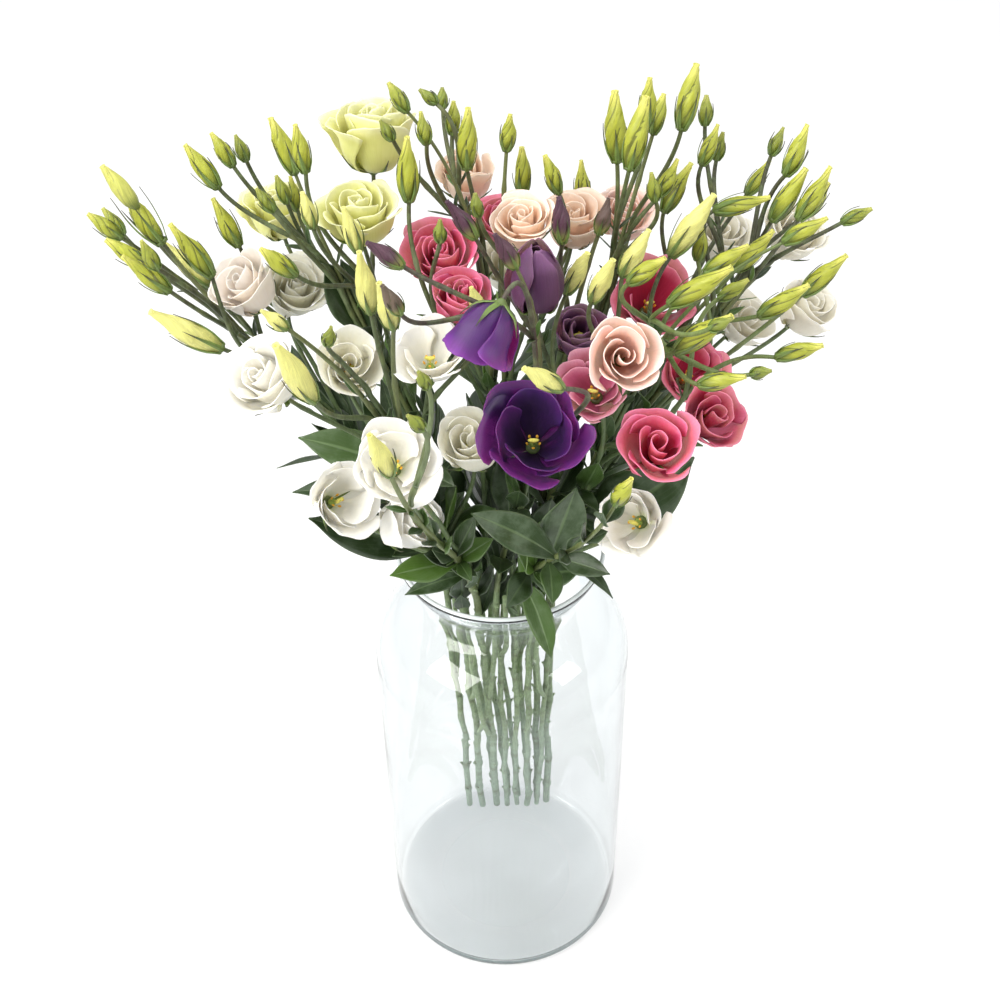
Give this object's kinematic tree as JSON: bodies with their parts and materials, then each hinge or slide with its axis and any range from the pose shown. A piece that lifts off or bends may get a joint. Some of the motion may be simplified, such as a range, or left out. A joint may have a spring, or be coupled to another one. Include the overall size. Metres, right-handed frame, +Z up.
{
  "type": "lisianthus bouquet in a glass vase",
  "caption": "Loose bouquet of mixed lisianthus stems with open blooms and pointed buds, standing in a tall clear glass vase with a short neck and flared lip.",
  "frame": {"origin": "middle of the flat underside of the vase, on the surface that it stands on", "axes": "+Z up along the vase's axis, +X to the right of the viewer in the picture, -Y towards the viewer"},
  "size_m": [0.4782, 0.3029, 0.7461],
  "materials": {
    "clear_glass": "clear blown glass, faint blue-green at thick edges",
    "stem": "fresh green stem, satin, pale bloom",
    "leaf": "grey-green waxy leaf, satin, paler midrib",
    "bud": "closed bud, pale yellow-green twisted petals",
    "bud_purple": "closed bud, dark purple petals with olive tips",
    "calyx": "green calyx with narrow sepals",
    "petal_white": "soft white petal, faint cream throat",
    "petal_cream": "soft cream petal with a green throat",
    "petal_blush": "soft pale pink petal",
    "petal_peach": "soft pale peach petal",
    "petal_yellow": "soft pale yellow-green petal",
    "petal_pink": "soft bright pink petal, paler towards the throat",
    "petal_rose": "soft deep pink petal with faint veins",
    "petal_dusty": "soft dusky pink petal, dark throat",
    "petal_purple": "velvety deep violet petal, lighter violet outside",
    "stamen": "yellow stamens with orange pollen and a green stigma"
  },
  "bodies": {
    "root": {"vase": "clear_glass", "stem_white_left": "stem", "stem_white_middle": "stem", "stem_white_low_left": "stem", "stem_purple_front": "stem", "stem_white_low_right": "stem", "stem_peach_right": "stem", "stem_rose_right": "stem", "stem_white_far_left": "stem", "stem_yellow_left": "stem", "stem_pink_middle": "stem", "stem_peach_middle": "stem", "stem_purple_back": "stem", "stem_white_right": "stem", "bloom_white_open_left": "petal_white", "bloom_white_side_left": "petal_white", "bloom_white_low_left": "petal_white", "bloom_white_ruffled_left": "petal_white", "bloom_white_goblet_left": "petal_cream", "bloom_white_cup_middle": "petal_white", "bloom_white_bell_middle": "petal_cream", "bloom_blush_rose_far_left": "petal_blush", "bloom_cream_bell_far_left": "petal_cream", "bloom_yellow_rose_top": "petal_yellow", "bloom_yellow_rose_front": "petal_yellow", "bloom_yellow_rose_back": "petal_yellow", "bloom_pink_rose_middle": "petal_pink", "bloom_pink_cup_middle": "petal_pink", "bloom_pink_rose_behind": "petal_pink", "bloom_peach_rose_top": "petal_peach", "bloom_peach_rose_side": "petal_peach", "bloom_peach_rose_behind": "petal_peach", "bloom_cream_cup_behind": "petal_cream", "bloom_purple_bell_upright": "petal_purple", "bloom_purple_bell_back": "petal_purple", "bloom_purple_nodding": "petal_purple", "bloom_purple_open_front": "petal_purple", "bloom_blush_rose_front": "petal_blush", "bloom_blush_rose_back": "petal_blush", "bloom_rose_cup_front": "petal_pink", "bloom_rose_cup_right": "petal_rose", "bloom_rose_open_back": "petal_rose", "bloom_rose_open_behind": "petal_rose", "bloom_rose_cup_middle": "petal_dusty", "bloom_white_rose_back_right": "petal_white", "bloom_white_cup_back_right": "petal_white", "bloom_white_cup_right": "petal_white", "bloom_white_rose_far_right": "petal_white", "bloom_white_open_right": "petal_white"}
  },
  "joints": []
}
